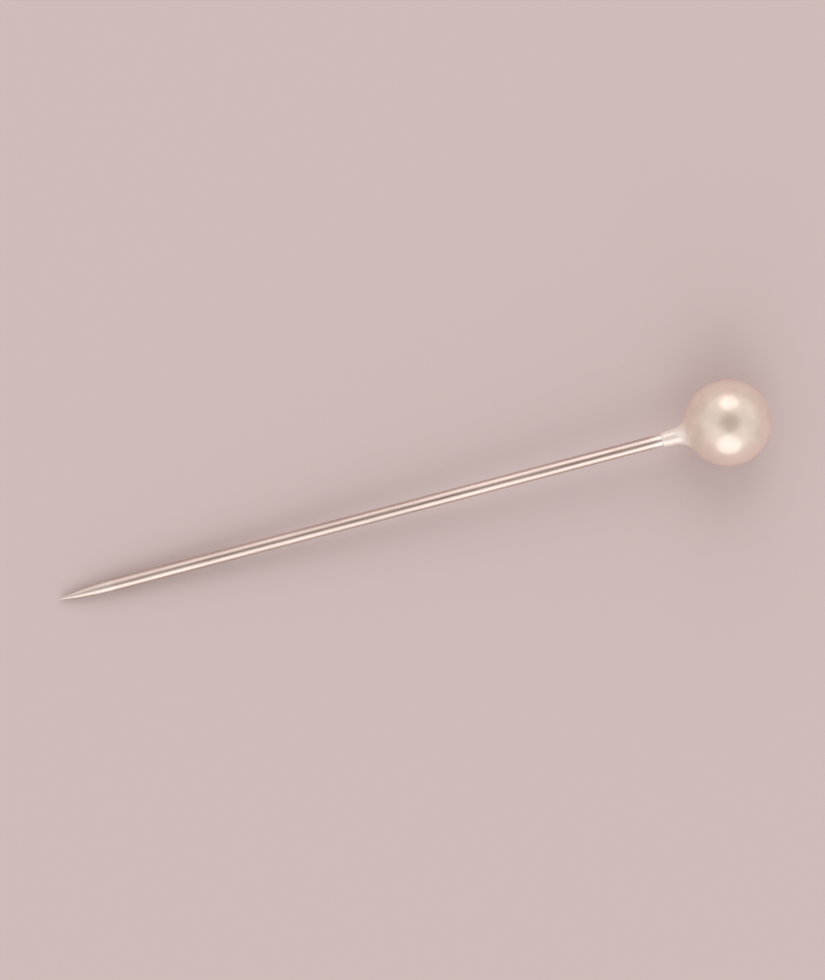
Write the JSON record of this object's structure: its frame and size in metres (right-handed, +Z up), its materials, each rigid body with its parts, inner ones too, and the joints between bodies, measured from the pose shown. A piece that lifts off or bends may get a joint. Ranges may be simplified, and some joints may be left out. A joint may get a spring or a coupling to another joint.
{
  "type": "straight pin",
  "caption": "Straight sewing pin: slim nickel-plated steel wire with a ground point at one end and a moulded pearl-finish ball head with a short flared neck at the other.",
  "frame": {"origin": "middle of the space that the lying pin takes up, on the surface that it lies on", "axes": "+Z up from that surface, +X from the point towards the head, +Y across the pin; the pin rests on its ball and on the start of its ground point, so its own axis climbs 3.28 degrees towards the head"},
  "size_m": [0.034, 0.004, 0.004],
  "materials": {
    "nickel_plate": "bright nickel plating over drawn steel wire, with fine drawing lines along it and a ground point",
    "pearl_plastic": "moulded plastic under a cream pearl lacquer, smooth and glossy"
  },
  "bodies": {
    "root": {"shank": "nickel_plate", "pearl_head": "pearl_plastic"}
  },
  "joints": []
}
